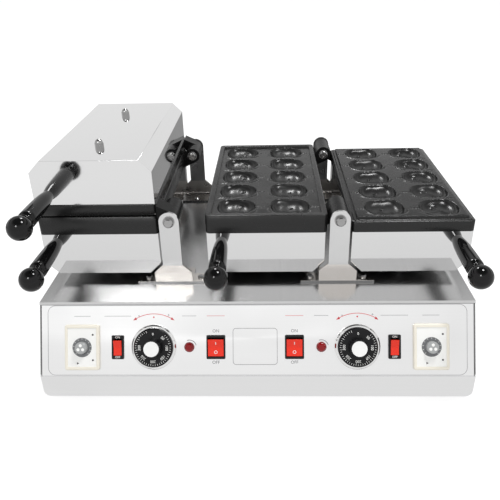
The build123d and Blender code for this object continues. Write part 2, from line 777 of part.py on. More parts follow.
save("pilot_lamps", *[on_panel(s * lamp_x, make_lamp()) for s in (-1, 1)])
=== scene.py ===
# %% [markdown]
# This lesson dresses a two-headed mini cake maker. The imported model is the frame: every metal box, hinge and
# knob is already in it at its real size. Here each surface gets its finish, and the pieces whose looks
# depend on fine shape, such as the cast moulds and the turned handles, are worked out again as smooth
# surfaces in the same places.

# %% Load the frame
import json
from math import cos, pi, radians, sin, sqrt

import bmesh
import bpy
import numpy as np
from mathutils import Matrix, Vector


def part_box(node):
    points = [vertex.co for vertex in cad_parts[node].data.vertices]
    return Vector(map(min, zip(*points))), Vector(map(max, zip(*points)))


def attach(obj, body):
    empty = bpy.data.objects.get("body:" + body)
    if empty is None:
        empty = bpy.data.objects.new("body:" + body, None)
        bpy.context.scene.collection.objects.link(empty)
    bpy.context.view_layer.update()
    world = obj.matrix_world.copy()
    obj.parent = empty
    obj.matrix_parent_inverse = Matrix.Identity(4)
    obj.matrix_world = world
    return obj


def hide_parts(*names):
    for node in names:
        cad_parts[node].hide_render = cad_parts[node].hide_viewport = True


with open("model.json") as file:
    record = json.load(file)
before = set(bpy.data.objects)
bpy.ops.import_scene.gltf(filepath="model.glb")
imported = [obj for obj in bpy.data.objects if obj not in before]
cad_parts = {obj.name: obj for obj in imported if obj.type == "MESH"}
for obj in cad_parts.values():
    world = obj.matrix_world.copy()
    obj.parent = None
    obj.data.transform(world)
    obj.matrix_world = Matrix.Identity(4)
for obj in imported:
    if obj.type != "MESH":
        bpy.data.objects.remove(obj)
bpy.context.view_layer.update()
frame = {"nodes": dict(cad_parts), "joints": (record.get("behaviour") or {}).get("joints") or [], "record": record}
nodes = frame["nodes"]
print("CAD nodes:", len(nodes))

# %% [markdown]
# The control panel slopes down and forwards from the tray's front edge. That edge and the two hinge lines
# are read from the frame, and everything below is placed from them.

# %% Places taken from the frame
MM = 0.001
SIDES = ((-1, "left"), (1, "right"))
HALVES = [(head, half) for _, head in SIDES for half in ("rim", "lid")]
tray_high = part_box("top_tray")[1]
TRAY_TOP = tray_high.z
TRAY_DEPTH = 410 * MM
SLOPE_TOP = tray_high.y - TRAY_DEPTH
PANEL_DROP, PANEL_REACH = 89 * MM, 47.5 * MM
slope = sqrt(PANEL_DROP**2 + PANEL_REACH**2)
UP_SLOPE = Vector((0, PANEL_REACH / slope, PANEL_DROP / slope))
OUTWARD = Vector((0, -PANEL_DROP / slope, PANEL_REACH / slope))
CONTROL_ROW = 61.5 * MM
hinges = {joint["name"]: Vector(joint["pos_m"]) for joint in frame["joints"]}
HINGE = {"left": hinges["left_pair_turn"], "right": hinges["right_rim_turn"]}
print("tray top", round(TRAY_TOP, 4), "slope starts at y", round(SLOPE_TOP, 4))

# %% [markdown]
# The photograph was taken from above the front edge, a little to the right. The camera's place, its turn and
# its lens were found by matching the machine's corners, so the render can be laid over the photograph.

# %% Camera at the photograph's place
PITCH, YAW, ROLL = radians(28.1494), radians(-2.2833), radians(-1.4859)
FOCAL_PX, CENTRE_X_PX, CENTRE_Y_PX, FRAME_PX = 586.10, 250.15, 258.0, 500.0
SENSOR_WIDTH = 36
CAMERA_FROM_EDGE = Vector((21.66, -660.96, 418.55)) * MM


def camera_axes():
    """Right, up and forward of the camera: forward dips by the pitch, then right and up turn by the roll."""
    forward = Vector((sin(YAW) * cos(PITCH), cos(YAW) * cos(PITCH), -sin(PITCH)))
    level = Vector((cos(YAW), -sin(YAW), 0))
    upright = level.cross(forward)
    right = cos(ROLL) * level + sin(ROLL) * upright
    return right, -sin(ROLL) * level + cos(ROLL) * upright, forward


def add_camera():
    """The shift moves the picture's middle to where the lens's axis met the photograph."""
    lens = bpy.data.cameras.new("photo_camera")
    lens.sensor_width = SENSOR_WIDTH
    lens.lens = FOCAL_PX * SENSOR_WIDTH / FRAME_PX
    lens.shift_x = -(CENTRE_X_PX - FRAME_PX / 2) / FRAME_PX
    lens.shift_y = (CENTRE_Y_PX - FRAME_PX / 2) / FRAME_PX
    camera = bpy.data.objects.new("photo_camera", lens)
    right, up, forward = camera_axes()
    turn = Matrix((right, up, -forward)).transposed().to_4x4()
    camera.matrix_world = Matrix.Translation(Vector((0, SLOPE_TOP, TRAY_TOP)) + CAMERA_FROM_EDGE) @ turn
    bpy.context.scene.collection.objects.link(camera)
    bpy.context.scene.camera = camera
    print("lens", round(lens.lens, 2), "mm")


add_camera()

# %% [markdown]
# A material in Blender is a graph of nodes. Written node by node it hides its own arithmetic, so this small
# class wraps an output and lets ordinary operators add the Math nodes.

# %% Outputs that can be added and multiplied
class Value:
    """An output in a material's graph. Operators add Math nodes to it."""

    def __init__(self, paint, socket):
        self.paint = paint
        self.socket = socket

    def maths(self, operation, first, second):
        return self.paint.node("ShaderNodeMath", {"operation": operation}, {0: first, 1: second})

    def __add__(self, other):
        return self.maths("ADD", self, other)

    __radd__ = __add__

    def __sub__(self, other):
        return self.maths("SUBTRACT", self, other)

    def __rsub__(self, other):
        return self.maths("SUBTRACT", other, self)

    def __mul__(self, other):
        return self.maths("MULTIPLY", self, other)

    __rmul__ = __mul__


print("operators that add nodes: + - *")

# %% [markdown]
# Every finish here is a Principled shader with noises in front of it. Paint holds one such graph. One method
# adds any node, and the others name the few kinds that these finishes need.

# %% A material as a graph
class Paint:
    """A material whose graph is built by calls to node(), with a Principled shader at its end."""

    def __init__(self, name, **fixed):
        self.material = bpy.data.materials.new(name)
        self.material.use_nodes = True
        self.graph = self.material.node_tree
        self.shader = self.graph.nodes["Principled BSDF"]
        for socket, number in fixed.items():
            self.shader.inputs[socket.replace("_", " ")].default_value = number
        self.place = self.node("ShaderNodeTexCoord", output="Object")

    def node(self, kind, settings=None, sockets=None, output=0):
        """Add a node: its settings first, then a number, colour or link for each named socket."""
        made = self.graph.nodes.new(kind)
        for key, setting in (settings or {}).items():
            setattr(made, key, setting)
        for key, value in (sockets or {}).items():
            self.plug(value, made.inputs[key])
        return Value(self, made.outputs[output])

    def plug(self, value, socket):
        if isinstance(value, Value):
            self.graph.links.new(value.socket, socket)
        else:
            socket.default_value = value

    def stretched(self, x, y, z):
        """The place on the object, scaled along each axis, so that a noise runs in streaks."""
        return self.node("ShaderNodeMapping", None, {"Vector": self.place, "Scale": (x, y, z)})

    def noise(self, scale, detail=2.0, place=None):
        """A soft noise with so many swells to the metre."""
        sockets = {"Vector": place or self.place, "Scale": scale, "Detail": detail}
        return self.node("ShaderNodeTexNoise", None, sockets)

    def axis(self, name):
        """The place along one axis of the object, in metres."""
        return self.node("ShaderNodeSeparateXYZ", None, {"Vector": self.place}, output=name)

    def between(self, value, low, high, out_low, out_high):
        """Carry a range of a value onto another range, smoothly."""
        sockets = {"Value": value, "From Min": low, "From Max": high, "To Min": out_low, "To Max": out_high}
        return self.node("ShaderNodeMapRange", {"interpolation_type": "SMOOTHSTEP"}, sockets)

    def uneven(self, noise, gloss, spread):
        """Roughness that wanders with a noise from gloss to gloss plus spread."""
        return self.between(noise, 0.3, 0.7, gloss, gloss + spread)

    def blend(self, share, first, second):
        return self.node("ShaderNodeMix", {"data_type": "RGBA"}, {0: share, 6: first, 7: second}, output=2)

    def bump(self, height, strength, distance):
        sockets = {"Strength": strength, "Distance": distance, "Height": height}
        return self.node("ShaderNodeBump", None, sockets)

    def finish(self, **sockets):
        for key, value in sockets.items():
            self.plug(value, self.shader.inputs[key.replace("_", " ")])
        return self.material


def shade(level, warmth=0.0):
    """A grey, warmed by a small share."""
    return (level * (1 + warmth), level, level * (1 - warmth), 1.0)


print("finishes so far:", len(bpy.data.materials))

# %% [markdown]
# Stainless sheet is brushed in one direction. The brush leaves streaks hundreds of times longer than they
# are wide, so a noise squeezed across the grain gives both the colour's small changes and the fine bump that
# draws out the highlights. Handling leaves faint smears, which a large soft noise puts into the roughness.

# %% Sheet metal
FINE_RELIEF = 0.2 * MM
ALONG_X, ALONG_Y, CASING_GRAIN = (4, 900, 900), (900, 4, 900), (700, 5, 700)


def brushed_steel(name, level, gloss, streak, grain=ALONG_X, smear=0.06, relief=0.05):
    """Sheet brushed along one axis: streaks in colour and bump, smears in roughness."""
    paint = Paint(name, Metallic=1.0, Anisotropic=0.3)
    streaks = paint.noise(1.0, 3.0, paint.stretched(*grain))
    smears = paint.noise(9.0, 3.0)
    colour = paint.blend(streaks, shade(level - streak), shade(level + streak))
    normal = paint.bump(streaks, relief, FINE_RELIEF)
    return paint.finish(Base_Color=colour, Roughness=paint.uneven(smears, gloss, smear), Normal=normal)


panel_steel = brushed_steel("panel_steel", level=0.88, gloss=0.28, streak=0.015)
side_steel = brushed_steel("side_steel", level=0.80, gloss=0.28, streak=0.015, grain=ALONG_Y)
tray_steel = brushed_steel("tray_steel", level=0.64, gloss=0.18, streak=0.04, grain=ALONG_Y, smear=0.03,
                           relief=0.03)
casing_steel = brushed_steel("casing_steel", level=0.76, gloss=0.05, streak=0.012, grain=CASING_GRAIN,
                             smear=0.02, relief=0.015)
print("finishes so far:", len(bpy.data.materials))

# %% [markdown]
# The hinge brackets are thicker bar, polished lengthwise. Below the bend their feet carry a painted
# reflection, a lighter and yellower tint, and just above the tray a dark band is a painted contact shadow.
# Both come from the height above the tray. The rear brackets' dark colour is painted shade. The fasteners
# are plated, which gives a cloudier and finely pitted skin.

# %% Bar and fasteners
FOOT_BEND = (27.5 * MM, 29.0 * MM)
CONTACT_SHADOW_BAND = (2.2 * MM, 3.4 * MM)


def bracket_finish(name, level, gloss):
    """Polished bar with a painted reflection below its bend and a painted contact shadow above the tray."""
    paint = Paint(name, Metallic=1.0)
    clouds = paint.noise(40.0, 3.0)
    scratches = paint.noise(1.0, 2.0, paint.stretched(300, 300, 25))
    height = paint.axis("Z")
    # foot masks a painted reflection below the bend, and edge masks a painted contact shadow just above the tray.
    foot, edge = (paint.between(height, TRAY_TOP + low, TRAY_TOP + high, 1.0, 0.0)
                  for low, high in (FOOT_BEND, CONTACT_SHADOW_BAND))
    plain = paint.blend(clouds, shade(level - 0.03), shade(level + 0.03))
    # Painted reflection: the foot is lighter and warmer below its bend.
    with_painted_reflection = paint.blend(foot, plain, shade(level + 0.08, warmth=0.05))
    # Painted contact shadow: dark just above the tray.
    colour = paint.blend(edge, with_painted_reflection, shade(level * 0.4))
    normal = paint.bump(scratches, 0.03, FINE_RELIEF)
    return paint.finish(Base_Color=colour, Roughness=paint.uneven(clouds, gloss, 0.05), Normal=normal)


def plated_steel(name, level, gloss):
    """Bright plating over pressed steel: cloudy, with a little fine pitting."""
    paint = Paint(name, Metallic=1.0)
    clouds = paint.noise(60.0, 4.0)
    pits = paint.noise(900.0)
    colour = paint.blend(clouds, shade(level - 0.07, warmth=0.01), shade(level + 0.05))
    normal = paint.bump(pits, 0.08, FINE_RELIEF)
    return paint.finish(Base_Color=colour, Roughness=paint.uneven(clouds, gloss, 0.1), Normal=normal)


bracket_steel = bracket_finish("bracket_steel", level=0.70, gloss=0.16)
# Painted shade: the rear brackets get a dark colour for the shade and dark reflections they sit in.
rear_bracket_shaded_steel = bracket_finish("rear_bracket_shaded_steel", level=0.16, gloss=0.25)
bright_fastener = plated_steel("bright_fastener", level=0.40, gloss=0.14)
bezel_chrome = plated_steel("bezel_chrome", level=0.84, gloss=0.08)
heater_steel = plated_steel("heater_steel", level=0.28, gloss=0.45)
print("finishes so far:", len(bpy.data.materials))

# %% [markdown]
# The moulds are cast and then coated with a black non-stick film. The film is satin, with the sand casting's
# grain just showing through it, and it is unevenly rubbed, so its roughness varies in patches. The lugs
# carry the same film but are handled less, so they shine less.

# %% Black film over castings
COATING_LEVEL = 0.009


def coated_casting(name, specular):
    """Satin film over a sand casting: two sizes of grain in the bump, rubbed patches in the roughness."""
    paint = Paint(name, Specular_IOR_Level=specular)
    grain = paint.noise(1400.0)
    swell = paint.noise(160.0, 3.0)
    rubbed = paint.noise(22.0, 3.0)
    colour = paint.blend(grain, shade(COATING_LEVEL * 0.75), shade(COATING_LEVEL * 1.35))
    roughness = paint.between(rubbed, 0.35, 0.65, 0.22, 0.30)
    normal = paint.bump(grain + swell * 0.8, 0.12, 0.3 * MM)
    return paint.finish(Base_Color=colour, Roughness=roughness, Normal=normal)


mould_coating = coated_casting("mould_coating", specular=0.38)
lug_coating = coated_casting("lug_coating", specular=0.10)
print("finishes so far:", len(bpy.data.materials))

# %% [markdown]
# Handles, knobs, frames and switches are moulded plastic. Its colour is almost even, and its skin has the
# soft ripple of the mould. The printing inks are done the same way, duller and a little more speckled, and
# so are the greys that paint shade, a shadow and a highlight onto the panel.

# %% Plastics and inks
def moulded(name, colour, gloss, speck=0.06, orange_peel=0.04, **fixed):
    """Moulded plastic: a slightly uneven colour and the soft ripple of its mould."""
    paint = Paint(name, **fixed)
    ripple = paint.noise(260.0)
    cloud = paint.noise(35.0, 3.0)
    dark = tuple(c * (1 - speck) for c in colour) + (1.0,)
    light = tuple(min(1.0, c * (1 + speck)) for c in colour) + (1.0,)
    normal = paint.bump(ripple, orange_peel, 0.4 * MM)
    roughness = paint.uneven(cloud, gloss, 0.05)
    return paint.finish(Base_Color=paint.blend(cloud, dark, light), Roughness=roughness, Normal=normal)


grip_black = moulded("grip_black", (0.003, 0.003, 0.0032), 0.05, orange_peel=0.02, Specular_IOR_Level=0.3)
black_plastic = moulded("black_plastic", (0.008, 0.008, 0.009), 0.32, Specular_IOR_Level=0.25)
dial_black = moulded("dial_black", (0.005, 0.005, 0.006), 0.24, Specular_IOR_Level=0.25)
foot_rubber = moulded("foot_rubber", (0.02, 0.02, 0.02), 0.7, orange_peel=0.1)
cream_plastic = moulded("cream_plastic", (0.82, 0.78, 0.68), 0.32, speck=0.03)
face_white = moulded("face_white", (0.88, 0.88, 0.86), 0.35, speck=0.03)
dial_grey = moulded("dial_grey", (0.15, 0.155, 0.16), 0.4)
knob_pale = moulded("knob_pale", (0.36, 0.37, 0.37), 0.3)
cap_white = moulded("cap_white", (0.86, 0.86, 0.85), 0.22)
rocker_red = moulded("rocker_red", (0.80, 0.03, 0.012), 0.18, Specular_IOR_Level=0.35)
lamp_red = moulded("lamp_red", (0.24, 0.003, 0.005), 0.05, orange_peel=0.0, Specular_IOR_Level=0.4)
# Grey for print, and also for the painted shadow under the tray's lip and the painted highlight on the lamp's
# ring.
grey_ink_and_painted_light = moulded("grey_ink_and_painted_light", (0.22, 0.22, 0.23), 0.5, speck=0.15)
pale_fold_shade = moulded("pale_fold_shade", (0.42, 0.42, 0.43), 0.4, speck=0.1)
ink_red = moulded("ink_red", (0.62, 0.06, 0.07), 0.5, speck=0.12)
ink_white = moulded("ink_white", (0.80, 0.80, 0.78), 0.45)
ink_black = moulded("ink_black", (0.02, 0.02, 0.02), 0.5, speck=0.15)
print("finishes so far:", len(bpy.data.materials))

# %% [markdown]
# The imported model's shapes are right for sheet, bar and knobs, so most of its nodes stay and only change
# their finish. Nodes that repeat on both heads are listed once, by piece.

# %% Give every CAD node its finish
finishes = {
    "top_tray": tray_steel,
    "control_panel": panel_steel,
    "rear_panel": panel_steel,
    "bottom_plate": panel_steel,
    "left_side_panel": side_steel,
    "right_side_panel": side_steel,
    "feet": foot_rubber,
    "cable_gland": black_plastic,
    "terminal_block": black_plastic,
    "thermostat_bodies": black_plastic,
    "timer_bodies": face_white,
    "pilot_lamps": lamp_red,
    "bracket_screws": bright_fastener,
    "pivot_bolts": bright_fastener,
}
half_finishes = {
    "plate": mould_coating,
    "lugs": lug_coating,
    "casing": casing_steel,
    "handle": grip_black,
    "heater": heater_steel,
    "fasteners": bright_fastener,
}
head_finishes = {
    "thermostat_bezel": bezel_chrome,
    "temp_knob": dial_black,
    "temp_cap": cap_white,
    "timer_frame": cream_plastic,
    "timer_knob": knob_pale,
    "power_frame": black_plastic,
    "power_rocker": rocker_red,
    "timer_switch_frame": black_plastic,
    "timer_switch_rocker": rocker_red,
    "front_bracket": bracket_steel,
    "rear_bracket": rear_bracket_shaded_steel,
}
for head, half in HALVES:
    finishes.update({f"{head}_{half}_{piece}": finish for piece, finish in half_finishes.items()})
for _, head in SIDES:
    finishes.update({f"{head}_{piece}": finish for piece, finish in head_finishes.items()})
for name, obj in nodes.items():
    obj.data.materials.clear()
    obj.data.materials.append(finishes[name])
print("finished nodes:", len(finishes))

# %% [markdown]
# Most new pieces are grids: a surface is a function of two numbers, worked out for the whole grid at once.
# One helper joins the grid's points by faces, and one turns them into a mesh with its seams and poles
# joined.

# %% Grids into meshes
SEAM = 2e-6


def grid_faces(rows, columns, around=False):
    """Quads of a grid, closed from its last column to its first if around."""
    spans = columns if around else columns - 1
    row, column = np.meshgrid(np.arange(rows - 1), np.arange(spans), indexing="ij")
    after = (column + 1) % columns
    a, b = row * columns + column, row * columns + after
    return np.stack([a, b, b + columns, a + columns], -1).reshape(-1, 4).tolist()


def add_piece(name, points, faces, material, body, slot, replaced=(), smooth=35):
    """Weld places and faces into a mesh, turn it outwards and let it ride on a body."""
    mesh = bpy.data.meshes.new(name)
    mesh.from_pydata(np.asarray(points).reshape(-1, 3).tolist(), [], faces)
    work = bmesh.new()
    work.from_mesh(mesh)
    bmesh.ops.remove_doubles(work, verts=work.verts, dist=SEAM)
    bmesh.ops.recalc_face_normals(work, faces=work.faces)
    work.to_mesh(mesh)
    work.free()
    mesh.shade_smooth()
    mesh.set_sharp_from_angle(angle=radians(smooth))
    mesh.materials.append(material)
    obj = bpy.data.objects.new(name, mesh)
    bpy.context.scene.collection.objects.link(obj)
    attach(obj, body)
    if replaced:
        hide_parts(*replaced)


print("a grid of 3 by 4 points has", len(grid_faces(3, 4)), "faces")

# %% [markdown]
# Folded sheet and cut bar never have a razor's edge: each fold has a radius, and each cut has been dressed.
# A CAD piece is loose triangles with sharp edges, so a copy of it is welded, its flat faces are joined, and
# a narrow Bevel rounds what is left. The rounded edges then catch the light in thin lines.

# %% Soft edges on sheet and bar
bodies = {node: body for body, held in frame["record"]["behaviour"]["bodies"].items() for node in held}
CASING_EDGE = 0.4
HEAD_EDGES = {"front_bracket": 0.4, "rear_bracket": 0.4, "timer_frame": 0.5, "power_frame": 0.4,
              "power_rocker": 0.4, "timer_switch_rocker": 0.4}
SAME_POINT, SAME_PLANE, CORNER, CREASE = 1e-6, radians(0.5), radians(32), radians(40)


def soften(name, width):
    """A welded copy of a CAD node with its edges rounded by a width in millimetres."""
    mesh = nodes[name].data.copy()
    mesh.name = f"{name}_soft"
    work = bmesh.new()
    work.from_mesh(mesh)
    bmesh.ops.remove_doubles(work, verts=work.verts, dist=SAME_POINT)
    bmesh.ops.dissolve_limit(work, angle_limit=SAME_PLANE, verts=work.verts, edges=work.edges)
    work.to_mesh(mesh)
    work.free()
    mesh.shade_smooth()
    mesh.set_sharp_from_angle(angle=CREASE)
    obj = bpy.data.objects.new(mesh.name, mesh)
    bpy.context.scene.collection.objects.link(obj)
    edge = obj.modifiers.new("edge", "BEVEL")
    edge.width, edge.segments = width * MM, 3
    edge.limit_method, edge.angle_limit = "ANGLE", CORNER
    edge.use_clamp_overlap = True
    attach(obj, bodies[name])
    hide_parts(name)


edge_widths = {f"{head}_{half}_casing": CASING_EDGE for head, half in HALVES}
for _, head in SIDES:
    edge_widths.update({f"{head}_{piece}": width for piece, width in HEAD_EDGES.items()})
for name, width in edge_widths.items():
    soften(name, width)
print("softened pieces:", len(edge_widths))

# %% [markdown]
# Each half is drawn about its hinge line and then put in place, as it would be on a bench: the rim half lies
# to the left of the line and the lid half to the right. On the closed head the lid is turned over onto the
# rim.

# %% Putting a half in its place
def half_place(points, head, half):
    """Carry points from a half's own frame, distance from the hinge first, to the machine."""
    points = np.array(points, float)
    points[..., 0] *= -1 if half == "rim" else 1
    if head == "left" and half == "lid":
        points[..., 0] *= -1
        points[..., 2] *= -1
    return points + np.array((HINGE[head].x, SLOPE_TOP, HINGE[head].z))


print("hinge lines at x", [round(line.x, 4) for line in HINGE.values()])

# %% [markdown]
# Cast marks are built from three simple fields: a smooth step, an oval dent, and a groove along an arc. A
# field runs from 0 to 1 over the whole plate at once, and a mark is a depth times a field.

# %% Fields for cast marks
def step(value, low, high):
    """Smooth step from 0 at low to 1 at high."""
    t = np.clip((value - low) / (high - low), 0, 1)
    return t * t * (3 - 2 * t)


def dent(x, y, x0, y0, long, wide, turn=0.0):
    """A shallow oval dent, 1 at its middle and 0 at its edge."""
    c, s = cos(radians(turn)), sin(radians(turn))
    a = ((x - x0) * c + (y - y0) * s) / long
    b = ((y - y0) * c - (x - x0) * s) / wide
    return np.sqrt(np.clip(1 - a * a - b * b, 0, 1))


def crescent(x, y, x0, radius, first, last, wide):
    """A soft groove along an arc about (x0, 0), 1 at its middle line, which thins out towards both ends."""
    turn = np.degrees(np.arctan2(y, x - x0))
    turn = np.where(turn < first - 90, turn + 360, turn)
    share = np.clip((turn - first) / (last - first), 0, 1)
    half = wide * np.sqrt(np.clip(4 * share * (1 - share), 0, 1)) + 1e-6
    return np.clip(1 - ((np.hypot(x - x0, y) - radius) / half) ** 2, 0, 1) ** 2


print("a dent is", float(dent(0.0, 0.0, 0.0, 0.0, 1.0, 1.0)), "deep at its middle")

# %% [markdown]
# The cast plate is the heart of the machine. Each half has two columns of five cavities, like halves of
# small fruit. The outer column is pear shaped with one waist, and the inner one is a bean with two fainter
# waists. A thin stalk with three beads points at the hinge. Crescent grooves lie beside the bowl, and small
# leaf-like dents lie between the pears. A ring is cast into each pear, and one dimple into each bean.

# %% The two cavities and their marks
ROW_PITCH, ROWS, DEPTH = 59.0, 5, 10.0
STALK = {"depth": 0.6, "across": -4, "half": 1.8, "before": 6, "past": 3}
BEADS = {"depth": 1.1, "past": (2.5, 6.6, 10.6), "long": 2.0, "wide": 2.3}
CRESCENT_RADIUS, MARK_DEPTH, LEAF_SHARE = 28.0, 0.9, 0.9
DIMPLE = {"depth": 2.0, "share": 0.53, "across": 10, "radius": 2.2}
RING = {"depth": 0.7, "share": 0.58, "across": 13, "radius": 4.2, "spread": 1.1}
BOWL_INSIDE = 3


def dimple(along, across, length):
    spot = (length * DIMPLE["share"], DIMPLE["across"], DIMPLE["radius"], DIMPLE["radius"])
    return DIMPLE["depth"] * dent(along, across, *spot) ** 2


def ring_mark(along, across, length):
    """A groove that is deepest on a circle and fades by a bell curve on both sides."""
    distance = np.hypot(along - length * RING["share"], across - RING["across"])
    return RING["depth"] * np.exp(-(((distance - RING["radius"]) / RING["spread"]) ** 2))


PEAR = {"start": 14.5, "length": 53.5, "half": 30.5, "square": 3.2, "taper": 0.30, "mark": ring_mark,
        "saddles": ((0.50, 0.16, 0.16),),
        "crescents": ((31, -70, -30, 2.2),),
        "leaves": ((0.0, 0, 5.5, 2.6, 35), (7.0, 1, 4.5, 2.0, -20))}
BEAN = {"start": 89.0, "length": 54.0, "half": 29.0, "square": 3.7, "taper": 0.20, "mark": dimple,
        "saddles": ((0.31, 0.10, 0.07), (0.64, 0.10, 0.10)),
        "crescents": ((31, -72, -34, 2.2), (22, 198, 236, 2.0)),
        "leaves": ()}
print("cavities:", 2 * ROWS * len(HALVES))

# %% [markdown]
# In plan a bowl is a squared oval that narrows towards the hinge. Its floor follows a line down its middle,
# with a low saddle at each waist, and its walls rise steeply, as cast pockets do. The deepest of all the
# bowls and marks at a place is the depth of the plate there.

# %% Depth as a function of place
PLATE = {"inner": 16.0, "outer": 181.0, "front": 55.5, "rear": 367.5, "back": -21.4, "corner": 6.0}
WALL_POWER = 0.6


def bowl_depth(u, across, form):
    """Depth at the share u along a bowl: a squared oval in plan that tapers, steep sided, with saddles."""
    root = np.sqrt(np.clip(1 - np.abs(2 * u - 1) ** form["square"], 0, 1))
    width = form["half"] * (1 - form["taper"] * np.clip(u, 0, 1)) * root
    ratio = np.clip(1 - (across / np.maximum(width, 0.01)) ** 2, 0, 1)
    floor = root
    for place, spread, share in form["saddles"]:
        floor = floor * (1 - share * np.exp(-(((u - place) / spread) ** 2)))
    return DEPTH * floor * ratio**WALL_POWER


def stalk_depth(along, across, length):
    """A shallow groove over the bowl's end, and a row of beads past it."""
    groove = np.clip(1 - ((across - STALK["across"]) / STALK["half"]) ** 2, 0, 1)
    groove = groove * ((along > length - STALK["before"]) & (along < length + STALK["past"]))
    beads = [dent(along, across, length + past, STALK["across"], BEADS["long"], BEADS["wide"]) ** 2
             for past in BEADS["past"]]
    return np.maximum(STALK["depth"] * groove, BEADS["depth"] * np.maximum.reduce(beads))


def side_marks(along, across, form):
    """Crescent grooves beside the bowl, and leaf-like dents halfway to the next row."""
    marks = [crescent(along, across, x0, CRESCENT_RADIUS, *arc) for x0, *arc in form["crescents"]]
    marks += [LEAF_SHARE * dent(along, across, x0, y0 - ROW_PITCH / 2, *oval) ** 2
              for x0, y0, *oval in form["leaves"]]
    return MARK_DEPTH * np.maximum.reduce(marks)


def cavity_depth(x, y):
    """How far the surface lies below the plate's floor, for distances from the hinge and along it."""
    middle = (PLATE["front"] + PLATE["rear"]) / 2
    row = np.clip(np.round((y - middle) / ROW_PITCH), -(ROWS // 2), ROWS // 2)
    across = y - middle - row * ROW_PITCH
    layers = [np.zeros_like(x)]
    for form in (PEAR, BEAN):
        length = form["length"]
        along = PLATE["outer"] - form["start"] - x
        bowl = bowl_depth(along / length, across, form)
        layers.append(bowl + form["mark"](along, across, length) * (bowl > BOWL_INSIDE))
        layers.append(stalk_depth(along, across, length))
        layers.append(side_marks(along, across, form))
    return np.maximum.reduce(layers)


print("bowl depth", round(float(bowl_depth(0.25, 0.0, BEAN)), 2), "mm a quarter of the way along a bean")

# %% [markdown]
# One half's face is a recess inside a raised rim, and the other's is a raised table on a lower border, so
# that the closed pair locate each other. Both are heights over the plan, and the cavities are taken off
# them.

# %% The face of a plate
RIM_TOP, RIM_WIDTH, RECESS = 4.7, 7.5, 3.1
BORDER_TOP, TABLE_INSET, LEDGE_DROP, LEDGE = -4.9, 8.3, 1.1, (3.3, 4.0)
WALL_ABOVE, WALL_BELOW, CAVITY_MARGIN = 0.2, 0.8, 1.0
EDGE_EASE, EDGE_ROUND = 0.7, 1.0
EDGE_LINES = np.array((0.0, 0.4, 1.0, 2.2, 3.3, 3.65, 4.0, 5.5, 7.2, 7.5, 7.9, 8.3, 8.7, 9.5))
EVEN_START, EVEN_STOP, EVEN_PITCH = 10.5, 10.4, 0.8


def plate_height(x, y, half):
    """Height of the plate's face: a recess inside a rim, or a table on a border, less the cavities."""
    inset = np.minimum.reduce([x - PLATE["inner"], PLATE["outer"] - x,
                               y - PLATE["front"], PLATE["rear"] - y])
    if half == "rim":
        inner = RIM_WIDTH
        floor = RIM_TOP - RECESS * step(inset, inner - WALL_ABOVE, inner + WALL_BELOW)
    else:
        inner = TABLE_INSET
        floor = BORDER_TOP + RECESS * step(inset, inner - WALL_BELOW, inner + WALL_ABOVE)
        floor = floor - LEDGE_DROP * (1 - step(inset, *LEDGE))
    eased = EDGE_EASE * (1 - step(inset, 0, EDGE_ROUND))
    return floor - cavity_depth(x, y) * (inset > inner + CAVITY_MARGIN) - eased


def plate_lines(low, high):
    """Grid lines: close together near both edges, and even between them."""
    even = np.arange(low + EVEN_START, high - EVEN_STOP, EVEN_PITCH)
    return np.concatenate([low + EDGE_LINES, even, high - EDGE_LINES[::-1]])


def round_corners(x, y, radius):
    """Pull each square corner of the grid onto a quarter circle."""
    cx = np.clip(x, PLATE["inner"] + radius, PLATE["outer"] - radius)
    cy = np.clip(y, PLATE["front"] + radius, PLATE["rear"] - radius)
    dx, dy = x - cx, y - cy
    longest = np.maximum(np.abs(dx), np.abs(dy))
    straight = np.hypot(dx, dy)
    pull = np.where(straight > 1e-9, longest / np.maximum(straight, 1e-9), 1.0)
    return cx + dx * pull, cy + dy * pull


print("grid lines across a plate:", len(plate_lines(PLATE["inner"], PLATE["outer"])))

# %% [markdown]
# The whole face is one grid of heights. Its border is a closed loop of points, which is carried down to the
# flat back of the casting, and the back is one face, so the mould is a closed shell.

# %% Four moulds
def make_plate(head, half):
    across = plate_lines(PLATE["inner"], PLATE["outer"])
    along = plate_lines(PLATE["front"], PLATE["rear"])
    x, y = np.meshgrid(across, along, indexing="ij")
    height = plate_height(x, y, half)
    top = np.stack([*round_corners(x, y, PLATE["corner"]), height], -1)
    index = np.arange(x.size).reshape(x.shape)
    loop = np.concatenate([index[0, :-1], index[:-1, -1], index[-1, :0:-1], index[:0:-1, 0]])
    wall = top.reshape(-1, 3)[loop]
    wall[:, 2] = PLATE["back"]
    back = x.size + np.arange(len(loop))
    skirt = np.stack([loop, back, np.roll(back, -1), np.roll(loop, -1)], -1)
    faces = grid_faces(*x.shape) + skirt.tolist() + [back.tolist()]
    points = np.concatenate([top.reshape(-1, 3), wall]) * MM
    name = f"{head}_{half}_mould"
    add_piece(name, half_place(points, head, half), faces, mould_coating, f"{head}_{half}_half",
              "mould_coating", [f"{head}_{half}_plate"], smooth=60)
    print(name, "faces", len(faces))


for head, half in HALVES:
    make_plate(head, half)

# %% [markdown]
# The handle is turned black plastic: a slender root that swells towards the hand, a groove and a bead at the
# neck, and a ball. One profile is carried round an axis, and its swell is a curve through a few measured
# radii.

# %% Turned handles
HANDLE = {"x": 160.0, "drop": 35.0, "face": 57.5, "reach": 100.5, "ball": 15.2, "root": 7.6, "end": 11.4}
SWELL, COVE = ((20, 9.8), (48, 10.9)), ((1.6, 0.9), (2.8, 0.0))
NECK_SHARE, NECK_ROOM, SHANK_EASE, SHOULDER = 0.75, 1.5, 1.2, 0.3
BEAD = {"past": 6.5, "long": 2.2, "proud": 1.6}
AROUND = 48


